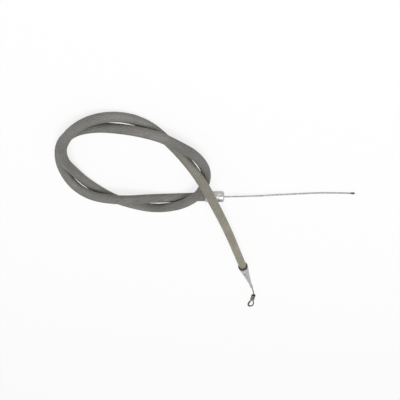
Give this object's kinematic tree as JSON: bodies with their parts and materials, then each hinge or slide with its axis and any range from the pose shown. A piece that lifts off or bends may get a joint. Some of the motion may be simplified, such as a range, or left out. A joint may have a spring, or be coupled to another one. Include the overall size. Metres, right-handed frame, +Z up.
{
  "type": "starter cable",
  "caption": "Moped starter cable: grey ribbed sheath in two loose turns, end cap with long bare wire, and a cone ferrule with a crimped wire eye.",
  "frame": {"origin": "middle of the rectangle that the lying cable covers, on the surface that it rests on", "axes": "+Z up from the resting surface, +X the way the bare wire points, -Y the way the cone and the eye point"},
  "size_m": [0.1949, 0.2319, 0.0188],
  "materials": {
    "sheath": "ribbed, half matt warm grey",
    "conduit": "bright wound steel",
    "wire": "galvanised strand",
    "bead": "dark fused end",
    "cap": "pale zinc plate",
    "cone": "satin pressed metal",
    "seal": "matt black",
    "sleeve": "dull brownish grey"
  },
  "bodies": {
    "root": {"outer_sheath": "sheath", "steel_conduit": "conduit", "inner_wire": "wire", "wire_end_bead": "bead", "lever_end_cap": "cap", "cone_ferrule": "cone", "seal_ring": "seal", "eye_sleeve": "sleeve"}
  },
  "joints": []
}
